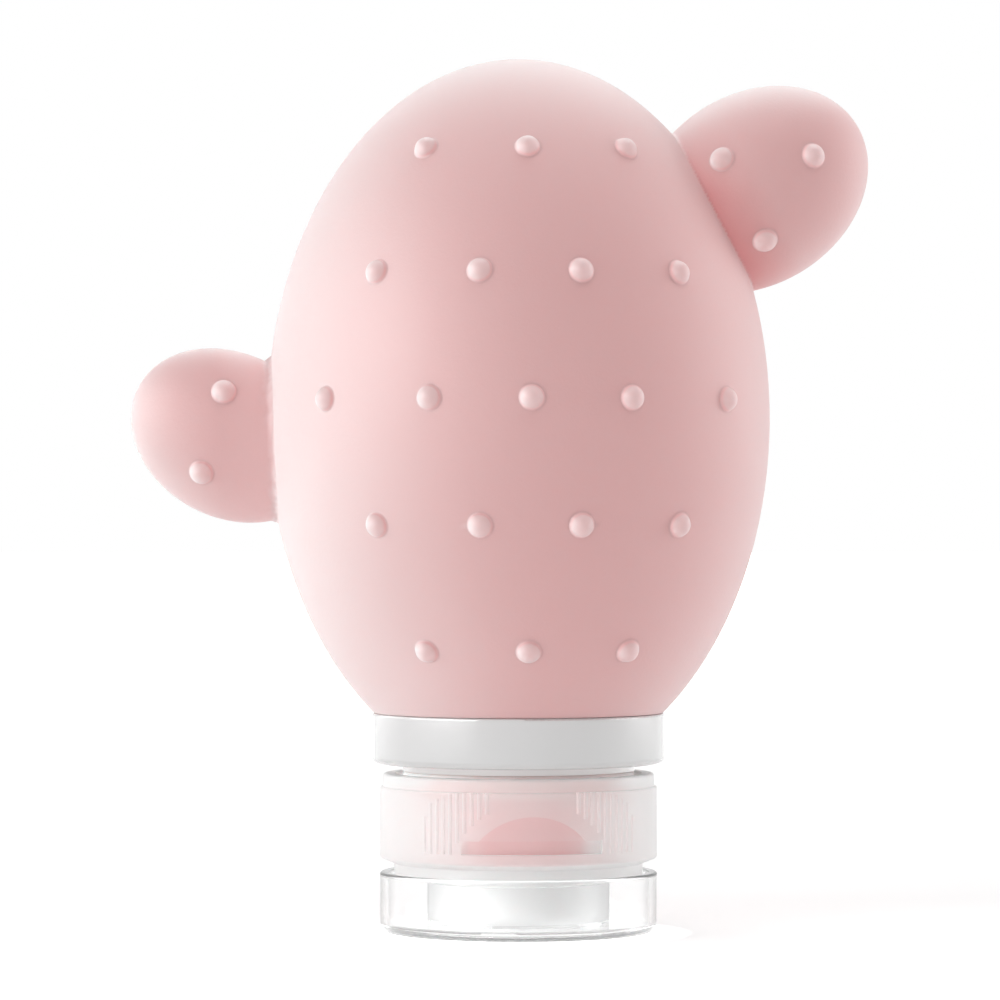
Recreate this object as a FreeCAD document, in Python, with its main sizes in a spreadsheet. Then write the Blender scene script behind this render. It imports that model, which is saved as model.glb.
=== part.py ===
import FreeCAD, Part
import Sketcher
import math
import os

# Travel squeeze bottle of silicone, standing upside down on its flip cap, in millimetres.
# The origin is the middle of the lid's flat outside face, +Z runs up the bottle and the front is -Y.

doc = FreeCAD.newDocument("TravelBottle")

# Driving dimensions, one line for each size that can be set by itself
SIZES = {
    # silicone body and its shoulder
    "body_diameter": 56.2,
    "body_half_height": 40.2,
    "body_wall": 2.8,
    "shoulder_step": 0.2,
    "shoulder_thickness": 2.6,
    # arm on the left
    "left_arm_length": 23.3,
    "left_arm_width": 18.3,
    "left_arm_depth": 12.4,
    "left_arm_tilt": 27.9,
    "left_arm_rise": -1.9,
    "left_arm_standoff": 4.1,
    # arm on the right
    "right_arm_length": 27.4,
    "right_arm_width": 21.4,
    "right_arm_depth": 21.0,
    "right_arm_tilt": 32.4,
    "right_arm_rise": 25.75,
    "right_arm_standoff": 4.8,
    # round nubs
    "nub_diameter": 2.8,
    "nub_sink": 0.15,
    "nub_column_pitch": 10.9,
    "nub_row_pitch": 13.65,
    "nub_middle_rise": 1.85,
    "left_nub_upper_along": 2.9,
    "left_nub_upper_across": -3.9,
    "left_nub_lower_along": 0.9,
    "left_nub_lower_across": 5.2,
    "right_nub_inner_along": -2.2,
    "right_nub_inner_across": 4.7,
    "right_nub_outer_along": 6.6,
    "right_nub_outer_across": -0.4,
    "right_nub_lower_along": -2.9,
    "right_nub_lower_across": -5.5,
    # neck and its screw thread
    "neck_diameter": 25.1,
    "neck_wall": 2.0,
    "bead_height": 0.35,
    "bead_width": 0.6,
    "collar_groove": 0.3,
    "thread_pitch": 3.0,
    "thread_turns": 1.75,
    "thread_depth": 0.95,
    "thread_root": 1.3,
    "thread_crest": 0.7,
    "thread_lead": 0.2,
    "thread_clearance": 0.3,
    # hard sleeve in the neck
    "insert_wall": 1.1,
    "insert_flange": 1.0,
    "flange_reach": 0.7,
    "insert_reach": 1.5,
    # collar ring
    "collar_height": 5.6,
    "collar_gap": 1.1,
    "collar_overhang": 0.9,
    "collar_flange": 1.6,
    "collar_hub_wall": 0.75,
    "collar_hub_drop": 0.8,
    "collar_outer_wall": 1.4,
    "collar_lower_round": 0.7,
    "collar_upper_round": 0.25,
    # cap base
    "cap_wall": 1.7,
    "cap_clocking": 3.2,
    "rim_margin": 0.4,
    "rim_height": 1.45,
    "rim_step": 0.3,
    "rim_round": 0.35,
    "deck_thickness": 2.0,
    "spigot_lap": 0.25,
    "spigot_inset": 1.6,
    "spigot_height": 1.25,
    "spigot_slope": 0.65,
    "recess_rise": 1.15,
    "recess_width": 13.8,
    "recess_height": 4.2,
    "recess_depth": 0.7,
    "slot_width": 15.6,
    "slot_height": 1.5,
    "slot_depth": 1.0,
    "rib_radius": 0.24,
    "rib_sink": 0.06,
    "rib_pitch": 3.2,
    "rib_first": 18.9,
    "rib_gap": 1.7,
    "rib_corner_width": 5.5,
    "rib_corner_height": 2.75,
    # outlet boss, slit valve and its retainer
    "boss_wall": 1.05,
    "boss_end_gap": 0.45,
    "boss_end_wall": 0.9,
    "boss_round": 0.8,
    "outlet_diameter": 8.0,
    "valve_diameter": 12.4,
    "valve_flange": 1.0,
    "valve_dish_rise": 1.2,
    "valve_skin": 0.5,
    "valve_shoulder": 0.4,
    "slit_length": 4.6,
    "slit_width": 0.12,
    "retainer_height": 2.2,
    "retainer_wall": 1.3,
    # washer under the deck
    "gasket_thickness": 1.0,
    "gasket_side_gap": 0.2,
    "gasket_lip": 0.4,
    # flip lid
    "lid_height": 6.7,
    "lid_wall": 0.9,
    "lid_floor": 1.1,
    "lid_corner_round": 1.0,
    "lid_rim_round": 0.3,
    "lid_ring_gap": 2.0,
    "lid_ring_wall": 0.9,
    "lid_ring_drop": 1.1,
    # hinge at the back
    "trunnion_diameter": 1.6,
    "trunnion_clearance": 0.05,
    "lug_wall": 0.75,
    "lug_width": 1.6,
    "lug_gusset": 1.6,
    "lug_side_gap": 0.15,
    "barrel_length": 8.6,
    "barrel_diameter": 2.6,
    "hinge_rise": 0.5,
    "hinge_tuck": 0.4,
    # play between pieces that seat on each other
    "seat_gap": 0.05,
}

# Sizes that follow from the driving ones: heights from the resting face up, then radii from the axis out
FITS = {
    "spigot_bottom": "Sizes.lid_height - Sizes.spigot_lap",
    "deck_top": "spigot_bottom + Sizes.deck_thickness",
    "gasket_bottom": "deck_top + Sizes.seat_gap",
    "mouth": "gasket_bottom + Sizes.gasket_thickness + Sizes.seat_gap",
    "flange_seat": "mouth + Sizes.insert_flange + Sizes.seat_gap",
    "thread_start": "flange_seat + Sizes.thread_lead + Sizes.thread_root / 2",
    "cap_thread_start": "thread_start + Sizes.thread_pitch / 2",
    "thread_end": "thread_start + Sizes.thread_turns * Sizes.thread_pitch + Sizes.thread_root / 2",
    "cap_thread_turns": "Sizes.thread_turns - (cap_thread_start - thread_start) / Sizes.thread_pitch",
    "cap_rim": "thread_end + Sizes.rim_margin",
    "rim_foot": "cap_rim - Sizes.rim_height",
    "collar_bottom": "cap_rim + Sizes.collar_gap",
    "collar_top": "collar_bottom + Sizes.collar_height",
    "shoulder": "collar_top + Sizes.seat_gap",
    "cavity_floor": "shoulder + Sizes.shoulder_thickness",
    "insert_top": "collar_top + Sizes.insert_reach",
    "hub_bottom": "collar_bottom - Sizes.collar_hub_drop",
    "bead_top": "hub_bottom - Sizes.seat_gap",
    "bead_bottom": "bead_top - Sizes.bead_width",
    "spigot_top": "spigot_bottom + Sizes.spigot_height",
    "cap_edge": "spigot_top + Sizes.spigot_slope",
    "recess_floor": "cap_edge + Sizes.recess_rise",
    "boss_end": "Sizes.lid_floor + Sizes.boss_end_gap",
    "valve_seat": "boss_end + Sizes.boss_end_wall",
    "valve_bottom": "valve_seat + Sizes.seat_gap",
    "valve_top": "valve_bottom + Sizes.valve_flange",
    "retainer_bottom": "valve_top + Sizes.seat_gap",
    "retainer_top": "retainer_bottom + Sizes.retainer_height",
    "lid_ring_top": "Sizes.lid_height - Sizes.lid_ring_drop",
    "hinge_height": "Sizes.lid_height + Sizes.hinge_rise",
    "neck_radius": "Sizes.neck_diameter / 2",
    "neck_bore": "neck_radius - Sizes.neck_wall",
    "bead_radius": "neck_radius + Sizes.bead_height",
    "groove_radius": "neck_radius - Sizes.collar_groove",
    "thread_radius": "neck_radius + Sizes.thread_depth",
    "thread_inside": "neck_radius - Sizes.neck_wall / 4",
    "insert_radius": "neck_bore - Sizes.seat_gap",
    "insert_bore": "insert_radius - Sizes.insert_wall",
    "insert_flange_radius": "insert_radius + Sizes.flange_reach",
    "flange_hole": "insert_flange_radius + Sizes.seat_gap",
    "cap_bore": "thread_radius + Sizes.thread_clearance",
    "cap_thread_radius": "neck_radius + Sizes.thread_clearance",
    "cap_thread_inside": "cap_bore + Sizes.cap_wall / 4",
    "cap_radius": "cap_bore + Sizes.cap_wall",
    "rim_radius": "cap_radius - Sizes.rim_step",
    "step_round": "min(Sizes.rim_round; Sizes.rim_step * 2 / 3)",
    "spigot_radius": "cap_radius - Sizes.spigot_inset",
    "collar_bore": "groove_radius + Sizes.seat_gap",
    "hub_radius": "collar_bore + Sizes.collar_hub_wall",
    "collar_radius": "cap_radius + Sizes.collar_overhang",
    "shoulder_radius": "collar_radius - Sizes.shoulder_step",
    "gasket_radius": "cap_bore - Sizes.gasket_side_gap",
    "gasket_bore": "insert_bore - Sizes.gasket_lip",
    "valve_bore": "Sizes.valve_diameter / 2 + Sizes.seat_gap",
    "boss_radius": "valve_bore + Sizes.boss_wall",
    "lid_ring_bore": "boss_radius + Sizes.lid_ring_gap",
    "lid_ring_radius": "lid_ring_bore + Sizes.lid_ring_wall",
    "lid_bore": "cap_radius - Sizes.lid_wall",
    "lug_radius": "Sizes.trunnion_diameter / 2 + Sizes.trunnion_clearance + Sizes.lug_wall",
    "hinge_back": "cap_radius + lug_radius - Sizes.hinge_tuck",
    "lug_front": "cap_bore + Sizes.cap_wall / 8",
    "lug_inside": "Sizes.barrel_length / 2 + Sizes.lug_side_gap",
    "body_radius": "Sizes.body_diameter / 2",
    "body_middle": "shoulder + Sizes.body_half_height * sqrt(1 - (shoulder_radius / body_radius) ^ 2)",
}


def fill_sheet(name, cells, lead):
    sheet = doc.addObject("Spreadsheet::Sheet", name)
    for row, (alias, content) in enumerate(cells.items(), start=1):
        sheet.set(f"A{row}", alias)
        sheet.set(f"B{row}", lead + str(content))
        sheet.setAlias(f"B{row}", alias)
    doc.recompute()
    return sheet


fill_sheet("Sizes", SIZES, "")
fits = fill_sheet("Fits", FITS, "=")


def number(expression):
    return float(fits.evalExpression(expression))


def bind(item, **expressions):
    for prop, expression in expressions.items():
        item.setExpression(prop, expression)
    return item


def primitive(kind, name, place=None, **expressions):
    item = doc.addObject(kind, name)
    bind(item, **expressions)
    if place is not None:
        item.Placement = place
    return item


def joined(name, items):
    item = doc.addObject("Part::MultiFuse", name)
    item.Shapes = items
    item.Refine = False
    return item


def shared(name, items):
    item = doc.addObject("Part::MultiCommon", name)
    item.Shapes = items
    item.Refine = False
    return item


def removed(name, base, tool):
    item = doc.addObject("Part::Cut", name)
    item.Base = base
    item.Tool = tool
    item.Refine = False
    return item


def at(x, y, z, rotation=None):
    return FreeCAD.Placement(FreeCAD.Vector(x, y, z), rotation or FreeCAD.Rotation())


def turned(axis, degrees):
    return FreeCAD.Rotation(FreeCAD.Vector(*axis), degrees)


ACROSS = (1, 0, 0)
BACKWARD = (0, 1, 0)
UPWARD = (0, 0, 1)


def sketch_on(body, name, role):
    sketch = body.newObject("Sketcher::SketchObject", name)
    plane = [feature for feature in body.Origin.OriginFeatures if feature.Role == role]
    sketch.AttachmentSupport = [(plane[0], "")]
    sketch.MapMode = "FlatFace"
    return sketch


# A section of straight lines, each corner a distance from the axis and a height
def section(body, name, corners, role="XZ_Plane"):
    sketch = sketch_on(body, name, role)
    points = [FreeCAD.Vector(number(radius), number(height), 0) for radius, height in corners]
    count = len(points)
    for index in range(count):
        sketch.addGeometry(Part.LineSegment(points[index], points[(index + 1) % count]), False)
    for index in range(count):
        sketch.addConstraint(Sketcher.Constraint("Coincident", index, 2, (index + 1) % count, 1))
    for index, (radius, height) in enumerate(corners):
        across = sketch.addConstraint(Sketcher.Constraint("DistanceX", -1, 1, index, 1, points[index].x))
        upward = sketch.addConstraint(Sketcher.Constraint("DistanceY", -1, 1, index, 1, points[index].y))
        sketch.setExpression(f"Constraints[{across}]", radius)
        sketch.setExpression(f"Constraints[{upward}]", height)
    return sketch


# Round pieces: the section turned about Z
def turned_body(name, corners):
    body = doc.addObject("PartDesign::Body", name)
    sketch = section(body, name + "_section", corners)
    turning = body.newObject("PartDesign::Revolution", name + "_turning")
    turning.Profile = sketch
    turning.ReferenceAxis = (sketch, ["V_Axis"])
    turning.Angle = 360
    doc.recompute()
    return body


# Rounded edges are found by the circle that they lie on
def round_edges(body, name, radius, circles):
    base = body.Tip
    near = 1e-4
    names = []
    for index, edge in enumerate(base.Shape.Edges, start=1):
        if not isinstance(edge.Curve, Part.Circle):
            continue
        for circle_radius, circle_height in circles:
            same_radius = abs(edge.Curve.Radius - number(circle_radius)) < near
            same_height = abs(edge.Curve.Center.z - number(circle_height)) < near
            if same_radius and same_height:
                names.append(f"Edge{index}")
    fillet = body.newObject("PartDesign::Fillet", name)
    fillet.Base = (base, names)
    bind(fillet, Radius=radius)
    doc.recompute()
    return fillet


def add_thread(body, name, corners, turns):
    sketch = section(body, name + "_section", corners)
    thread = body.newObject("PartDesign::AdditiveHelix", name)
    thread.Profile = sketch
    thread.ReferenceAxis = (sketch, ["V_Axis"])
    thread.Mode = "pitch-turns-angle"
    bind(thread, Pitch="Sizes.thread_pitch", Turns=turns)
    doc.recompute()
    return thread


# An egg turned from half an ellipse, whose long axis stands on the bottle's axis
def turned_egg(name, half_height, radius, middle):
    body = doc.addObject("PartDesign::Body", name)
    sketch = sketch_on(body, name + "_section", "XZ_Plane")
    centre = FreeCAD.Vector(0, number(middle), 0)
    top = centre + FreeCAD.Vector(0, number(half_height), 0)
    bottom = centre - FreeCAD.Vector(0, number(half_height), 0)
    ellipse = Part.Ellipse(top, centre - FreeCAD.Vector(number(radius), 0, 0), centre)
    outline = sketch.addGeometry(Part.ArcOfEllipse(ellipse, math.pi, 2 * math.pi), False)
    axis = sketch.addGeometry(Part.LineSegment(top, bottom), False)
    sketch.addConstraint(Sketcher.Constraint("Coincident", outline, 2, axis, 1))
    sketch.addConstraint(Sketcher.Constraint("Coincident", axis, 2, outline, 1))
    sketch.exposeInternalGeometry(outline)
    long_axis = axis + 1
    short_axis = axis + 2
    for line, point in ((axis, 1), (axis, 2), (outline, 3), (long_axis, 1)):
        sketch.addConstraint(Sketcher.Constraint("PointOnObject", line, point, -2))
    lift = sketch.addConstraint(Sketcher.Constraint("DistanceY", -1, 1, outline, 3, centre.y))
    tall = sketch.addConstraint(Sketcher.Constraint("Distance", long_axis, 2 * number(half_height)))
    wide = sketch.addConstraint(Sketcher.Constraint("Distance", short_axis, 2 * number(radius)))
    sketch.setExpression(f"Constraints[{lift}]", middle)
    sketch.setExpression(f"Constraints[{tall}]", f"2 * ({half_height})")
    sketch.setExpression(f"Constraints[{wide}]", f"2 * ({radius})")
    turning = body.newObject("PartDesign::Revolution", name + "_turning")
    turning.Profile = sketch
    turning.ReferenceAxis = (sketch, ["V_Axis"])
    turning.Angle = 360
    doc.recompute()
    return body


# Silicone moulding: the egg-shaped body, trimmed flat where its shoulder sits on the collar
egg = turned_egg("body_egg", "Sizes.body_half_height", "Fits.body_radius", "Fits.body_middle")
below_shoulder = primitive(
    "Part::Cylinder",
    "below_shoulder",
    Radius="Sizes.body_diameter",
    Height="Fits.shoulder",
)
trimmed_egg = removed("trimmed_egg", egg, below_shoulder)


class Arm:
    """One arm: an egg that leans outwards and is sunk into the side of the body."""

    def __init__(self, side, outward):
        self.side = side
        self.rise = number(f"Sizes.{side}_arm_rise")
        self.length = number(f"Sizes.{side}_arm_length / 2")
        self.width = number(f"Sizes.{side}_arm_width / 2")
        self.depth = number(f"Sizes.{side}_arm_depth / 2")
        tilt = math.radians(number(f"Sizes.{side}_arm_tilt"))
        self.along = FreeCAD.Vector(outward * math.cos(tilt), 0, math.sin(tilt))
        self.across = FreeCAD.Vector(-self.along.z, 0, self.along.x)
        rise_share = self.rise / number("Sizes.body_half_height")
        flank = number("Fits.body_radius") * math.sqrt(1 - rise_share ** 2)
        reach = flank + number(f"Sizes.{side}_arm_standoff")
        self.middle = FreeCAD.Vector(outward * reach, 0, number("Fits.body_middle") + self.rise)
        lean = outward * (90 - math.degrees(tilt))
        self.item = primitive(
            "Part::Ellipsoid",
            f"{side}_arm",
            FreeCAD.Placement(self.middle, turned(BACKWARD, lean)),
            Radius1=f"Sizes.{side}_arm_length / 2",
            Radius2=f"Sizes.{side}_arm_width / 2",
            Radius3=f"Sizes.{side}_arm_depth / 2",
        )

    def surface(self, along, across):
        bulge = math.sqrt(1 - (along / self.length) ** 2 - (across / self.width) ** 2)
        flat = self.along * along + self.across * across
        out = self.along * (along / self.length ** 2) + self.across * (across / self.width ** 2)
        return flat, self.depth * bulge, out, bulge / self.depth


left_arm = Arm("left", -1)
right_arm = Arm("right", 1)

# Nubs stand square to the surface, in the same places on the front and on the back
FACES = {"front": -1, "back": 1}
NUBS_IN_ROW = (3, 4, 5, 4, 3)
MIDDLE_ROW = 2
nubs = []


def add_nub(name, surface_point, outward):
    normal = outward.normalize()
    centre = surface_point - normal * number("Sizes.nub_sink")
    upright = FreeCAD.Rotation(FreeCAD.Vector(*UPWARD), normal)
    nub = primitive("Part::Sphere", name, FreeCAD.Placement(centre, upright), Radius="Sizes.nub_diameter / 2")
    nubs.append(nub)


egg_radius = number("Fits.body_radius")
egg_half = number("Sizes.body_half_height")
egg_middle = number("Fits.body_middle")
for row, count in enumerate(NUBS_IN_ROW):
    rise = number("Sizes.nub_middle_rise") + (row - MIDDLE_ROW) * number("Sizes.nub_row_pitch")
    for column in range(count):
        aside = (column - (count - 1) / 2) * number("Sizes.nub_column_pitch")
        bulge = 1 - (aside / egg_radius) ** 2 - (rise / egg_half) ** 2
        if bulge <= 0:
            continue
        for face, sign in FACES.items():
            depth = sign * egg_radius * math.sqrt(bulge)
            normal = FreeCAD.Vector(aside / egg_radius ** 2, depth / egg_radius ** 2, rise / egg_half ** 2)
            add_nub(f"nub_{face}_{row}_{column}", FreeCAD.Vector(aside, depth, egg_middle + rise), normal)

ARM_NUBS = ((left_arm, ("upper", "lower")), (right_arm, ("inner", "outer", "lower")))
for arm, places in ARM_NUBS:
    for place in places:
        along = number(f"Sizes.{arm.side}_nub_{place}_along")
        across = number(f"Sizes.{arm.side}_nub_{place}_across")
        flat, depth, slope, slope_depth = arm.surface(along, across)
        for face, sign in FACES.items():
            point = arm.middle + flat + FreeCAD.Vector(0, sign * depth, 0)
            normal = slope + FreeCAD.Vector(0, sign * slope_depth, 0)
            add_nub(f"nub_{arm.side}_arm_{face}_{place}", point, normal)

# Neck of the moulding: a lip round the sleeve's flange, the screw thread, a bead and the collar's groove
neck = turned_body(
    "neck",
    [
        ("Fits.neck_bore", "Fits.flange_seat"),
        ("Fits.flange_hole", "Fits.flange_seat"),
        ("Fits.flange_hole", "Fits.mouth"),
        ("Fits.neck_radius", "Fits.mouth"),
        ("Fits.neck_radius", "Fits.bead_bottom"),
        ("Fits.bead_radius", "Fits.bead_bottom"),
        ("Fits.bead_radius", "Fits.bead_top"),
        ("Fits.groove_radius", "Fits.bead_top"),
        ("Fits.groove_radius", "Fits.cavity_floor"),
        ("Fits.neck_bore", "Fits.cavity_floor"),
    ],
)
add_thread(
    neck,
    "neck_thread",
    [
        ("Fits.thread_inside", "Fits.thread_start - Sizes.thread_root / 2"),
        ("Fits.neck_radius", "Fits.thread_start - Sizes.thread_root / 2"),
        ("Fits.thread_radius", "Fits.thread_start - Sizes.thread_crest / 2"),
        ("Fits.thread_radius", "Fits.thread_start + Sizes.thread_crest / 2"),
        ("Fits.neck_radius", "Fits.thread_start + Sizes.thread_root / 2"),
        ("Fits.thread_inside", "Fits.thread_start + Sizes.thread_root / 2"),
    ],
    "Sizes.thread_turns",
)

# Hollow of the moulding: an egg one wall smaller, with a flat shoulder and the way out through the neck
cavity_egg = turned_egg(
    "cavity_egg",
    "Sizes.body_half_height - Sizes.body_wall",
    "Fits.body_radius - Sizes.body_wall",
    "Fits.body_middle",
)
below_cavity = primitive(
    "Part::Cylinder",
    "below_cavity",
    Radius="Sizes.body_diameter",
    Height="Fits.cavity_floor",
)
cavity = removed("cavity", cavity_egg, below_cavity)
way_out = primitive(
    "Part::Cylinder",
    "way_out",
    Radius="Fits.neck_bore",
    Height="Fits.body_middle",
)
moulding = joined("moulding", [trimmed_egg, left_arm.item, right_arm.item] + nubs)
hollow = joined("hollow", [cavity, way_out])
shell = removed("shell", moulding, hollow)
silicone_bottle = joined("silicone_bottle", [shell, neck])

# Hard sleeve inside the neck, with a flange that sits in the neck's lip for the washer to seal on
neck_insert = turned_body(
    "neck_insert",
    [
        ("Fits.insert_bore", "Fits.mouth"),
        ("Fits.insert_flange_radius", "Fits.mouth"),
        ("Fits.insert_flange_radius", "Fits.mouth + Sizes.insert_flange"),
        ("Fits.insert_radius", "Fits.mouth + Sizes.insert_flange"),
        ("Fits.insert_radius", "Fits.insert_top"),
        ("Fits.insert_bore", "Fits.insert_top"),
    ],
)

# Collar ring: a channel that is open below, whose longer inner wall snaps over the neck's bead
collar_ring = turned_body(
    "collar_ring",
    [
        ("Fits.collar_bore", "Fits.hub_bottom"),
        ("Fits.hub_radius", "Fits.hub_bottom"),
        ("Fits.hub_radius", "Fits.collar_top - Sizes.collar_flange"),
        ("Fits.collar_radius - Sizes.collar_outer_wall", "Fits.collar_top - Sizes.collar_flange"),
        ("Fits.collar_radius - Sizes.collar_outer_wall", "Fits.collar_bottom"),
        ("Fits.collar_radius", "Fits.collar_bottom"),
        ("Fits.collar_radius", "Fits.collar_top"),
        ("Fits.collar_bore", "Fits.collar_top"),
    ],
)
round_edges(
    collar_ring,
    "collar_lower_edge",
    "Sizes.collar_lower_round",
    [("Fits.collar_radius", "Fits.collar_bottom")],
)
round_edges(
    collar_ring,
    "collar_upper_edge",
    "Sizes.collar_upper_round",
    [("Fits.collar_radius", "Fits.collar_top")],
)

# Washer between the insert's flange and the cap's deck
sealing_gasket = turned_body(
    "sealing_gasket",
    [
        ("Fits.gasket_bore", "Fits.gasket_bottom"),
        ("Fits.gasket_radius", "Fits.gasket_bottom"),
        ("Fits.gasket_radius", "Fits.gasket_bottom + Sizes.gasket_thickness"),
        ("Fits.gasket_bore", "Fits.gasket_bottom + Sizes.gasket_thickness"),
    ],
)

# Cap base: skirt with its thread, deck, spigot that the lid closes round, and outlet boss
cap_core = turned_body(
    "cap_core",
    [
        ("Sizes.outlet_diameter / 2", "Fits.boss_end"),
        ("Fits.boss_radius", "Fits.boss_end"),
        ("Fits.boss_radius", "Fits.spigot_bottom"),
        ("Fits.spigot_radius", "Fits.spigot_bottom"),
        ("Fits.spigot_radius", "Fits.spigot_top"),
        ("Fits.cap_radius", "Fits.cap_edge"),
        ("Fits.cap_radius", "Fits.rim_foot"),
        ("Fits.rim_radius", "Fits.rim_foot"),
        ("Fits.rim_radius", "Fits.cap_rim"),
        ("Fits.cap_bore", "Fits.cap_rim"),
        ("Fits.cap_bore", "Fits.deck_top"),
        ("Fits.valve_bore", "Fits.deck_top"),
        ("Fits.valve_bore", "Fits.valve_seat"),
        ("Sizes.outlet_diameter / 2", "Fits.valve_seat"),
    ],
)
round_edges(cap_core, "boss_edge", "Sizes.boss_round", [("Fits.boss_radius", "Fits.boss_end")])
round_edges(
    cap_core,
    "cap_edges",
    "Sizes.rim_round",
    [("Fits.rim_radius", "Fits.cap_rim"), ("Fits.cap_radius", "Fits.cap_edge")],
)
round_edges(cap_core, "step_edge", "Fits.step_round", [("Fits.cap_radius", "Fits.rim_foot")])
add_thread(
    cap_core,
    "cap_thread",
    [
        ("Fits.cap_thread_inside", "Fits.cap_thread_start - Sizes.thread_root / 2"),
        ("Fits.cap_bore", "Fits.cap_thread_start - Sizes.thread_root / 2"),
        ("Fits.cap_thread_radius", "Fits.cap_thread_start - Sizes.thread_crest / 2"),
        ("Fits.cap_thread_radius", "Fits.cap_thread_start + Sizes.thread_crest / 2"),
        ("Fits.cap_bore", "Fits.cap_thread_start + Sizes.thread_root / 2"),
        ("Fits.cap_thread_inside", "Fits.cap_thread_start + Sizes.thread_root / 2"),
    ],
    "Fits.cap_thread_turns",
)

# Two bands of fine upright grip ribs, one each side of the thumb recess, with round outer top corners
SIDES = {"left": -1, "right": 1}
RIBS_IN_BAND = 10
cap_radius = number("Fits.cap_radius")
recess_floor = number("Fits.recess_floor")
recess_half = number("Sizes.recess_width / 2")
recess_height = number("Sizes.recess_height")
dome_radius = (recess_half ** 2 + recess_height ** 2) / (2 * recess_height)
dome_middle = recess_floor + recess_height - dome_radius
rib_keep_out = dome_radius + number("Sizes.rib_gap")
corner_width = number("Sizes.rib_corner_width")
last_rib = number("Sizes.rib_first") + (RIBS_IN_BAND - 1) * number("Sizes.rib_pitch")
corner_start = cap_radius * math.radians(last_rib) - corner_width
ribs = []
for index in range(RIBS_IN_BAND):
    angle = math.radians(number("Sizes.rib_first") + index * number("Sizes.rib_pitch"))
    aside = cap_radius * math.sin(angle)
    foot = recess_floor
    if aside < rib_keep_out:
        foot = max(foot, dome_middle + math.sqrt(rib_keep_out ** 2 - aside ** 2))
    into_corner = min(max(cap_radius * angle - corner_start, 0) / corner_width, 1)
    corner_drop = number("Sizes.rib_corner_height") * (1 - math.sqrt(1 - into_corner ** 2))
    head = number("Fits.rim_foot") - corner_drop
    if head <= foot:
        continue
    stand = cap_radius - number("Sizes.rib_sink")
    for side, sign in SIDES.items():
        rib = primitive(
            "Part::Cylinder",
            f"rib_{side}_{index}",
            at(sign * stand * math.sin(angle), -stand * math.cos(angle), foot),
            Radius="Sizes.rib_radius",
        )
        rib.Height = head - foot
        ribs.append(rib)

# Hinge lugs at the back of the cap base, drilled for the lid's trunnions
hinge_height = number("Fits.hinge_height")
hinge_back = number("Fits.hinge_back")
lug_inside = number("Fits.lug_inside")
lug_width = number("Sizes.lug_width")
lugs = []
for side, sign in SIDES.items():
    lug_start = lug_inside if sign > 0 else -lug_inside - lug_width
    lug_eye = primitive(
        "Part::Cylinder",
        f"lug_eye_{side}",
        at(lug_start, hinge_back, hinge_height, turned(BACKWARD, 90)),
        Radius="Fits.lug_radius",
        Height="Sizes.lug_width",
    )
    gusset = doc.addObject("PartDesign::Body", f"lug_gusset_{side}")
    gusset_section = section(
        gusset,
        f"lug_gusset_{side}_section",
        [
            ("Fits.lug_front", "Fits.hinge_height"),
            ("Fits.hinge_back", "Fits.hinge_height"),
            ("Fits.hinge_back", "Fits.hinge_height + Fits.lug_radius"),
            ("Fits.cap_radius", "Fits.hinge_height + Fits.lug_radius + Sizes.lug_gusset"),
            ("Fits.lug_front", "Fits.hinge_height + Fits.lug_radius + Sizes.lug_gusset"),
        ],
        "YZ_Plane",
    )
    gusset_pad = gusset.newObject("PartDesign::Pad", f"lug_gusset_{side}_pad")
    gusset_pad.Profile = gusset_section
    bind(gusset_pad, Length="Sizes.lug_width")
    gusset.Placement = at(lug_start, 0, 0)
    lugs.append(lug_eye)
    lugs.append(gusset)
trunnion_hole = primitive(
    "Part::Cylinder",
    "trunnion_hole",
    at(-lug_inside - lug_width, hinge_back, hinge_height, turned(BACKWARD, 90)),
    Radius="Sizes.trunnion_diameter / 2 + Sizes.trunnion_clearance",
    Height="2 * (Fits.lug_inside + Sizes.lug_width)",
)

# Thumb recess in the front of the skirt: a half moon over a wider, deeper slot
def skirt_band(name, depth):
    outside = primitive(
        "Part::Cylinder",
        name + "_outside",
        Radius="Fits.collar_radius",
        Height="Fits.cap_rim",
    )
    inside = primitive(
        "Part::Cylinder",
        name + "_inside",
        Radius=f"Fits.cap_radius - {depth}",
        Height="Fits.cap_rim",
    )
    return removed(name, outside, inside)


dome = primitive(
    "Part::Cylinder",
    "recess_dome",
    at(0, 0, dome_middle, turned(ACROSS, 90)),
    Height="Fits.collar_radius",
)
dome.Radius = dome_radius
above_floor = primitive(
    "Part::Box",
    "above_recess_floor",
    at(-dome_radius, -number("Fits.collar_radius"), recess_floor),
    Width="Fits.collar_radius",
    Height="Sizes.recess_height",
)
above_floor.Length = 2 * dome_radius
slot = primitive(
    "Part::Box",
    "recess_slot",
    at(-number("Sizes.slot_width / 2"), -number("Fits.collar_radius"), recess_floor),
    Length="Sizes.slot_width",
    Width="Fits.collar_radius",
    Height="Sizes.slot_height",
)
half_moon = shared("half_moon", [dome, above_floor, skirt_band("recess_band", "Sizes.recess_depth")])
thumb_slot = shared("thumb_slot", [slot, skirt_band("slot_band", "Sizes.slot_depth")])
hinged_cap = joined("hinged_cap", [cap_core] + lugs)
cap_cuts = joined("cap_cuts", [half_moon, thumb_slot, trunnion_hole])
smooth_cap = removed("smooth_cap", hinged_cap, cap_cuts)
cap_base = joined("cap_base", [smooth_cap] + ribs)

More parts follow.
